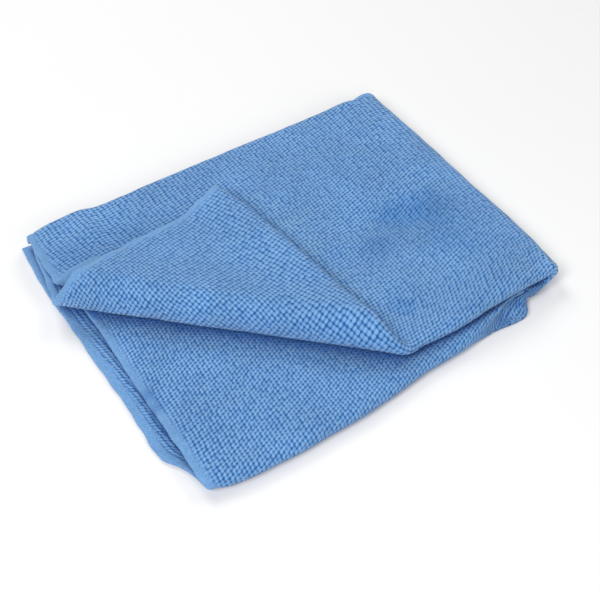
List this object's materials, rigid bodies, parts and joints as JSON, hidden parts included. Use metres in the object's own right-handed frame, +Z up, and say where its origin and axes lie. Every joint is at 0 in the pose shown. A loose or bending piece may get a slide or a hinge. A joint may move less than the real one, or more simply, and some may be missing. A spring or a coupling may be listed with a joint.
{
  "type": "microfibre cloth",
  "caption": "Microfibre cleaning cloth of pearl knit with hemmed edges, folded into a flat packet with one corner turned back over the top.",
  "frame": {"origin": "middle of the packet's footprint, on the surface it lies on", "axes": "+X along the packet's long side towards the side fold, +Y from the folded front edge to the hemmed back edge, +Z up"},
  "size_m": [0.2078, 0.1718, 0.0229],
  "materials": {
    "cloth": "pearl knit"
  },
  "bodies": {
    "root": {"cloth": "cloth"}
  },
  "joints": []
}
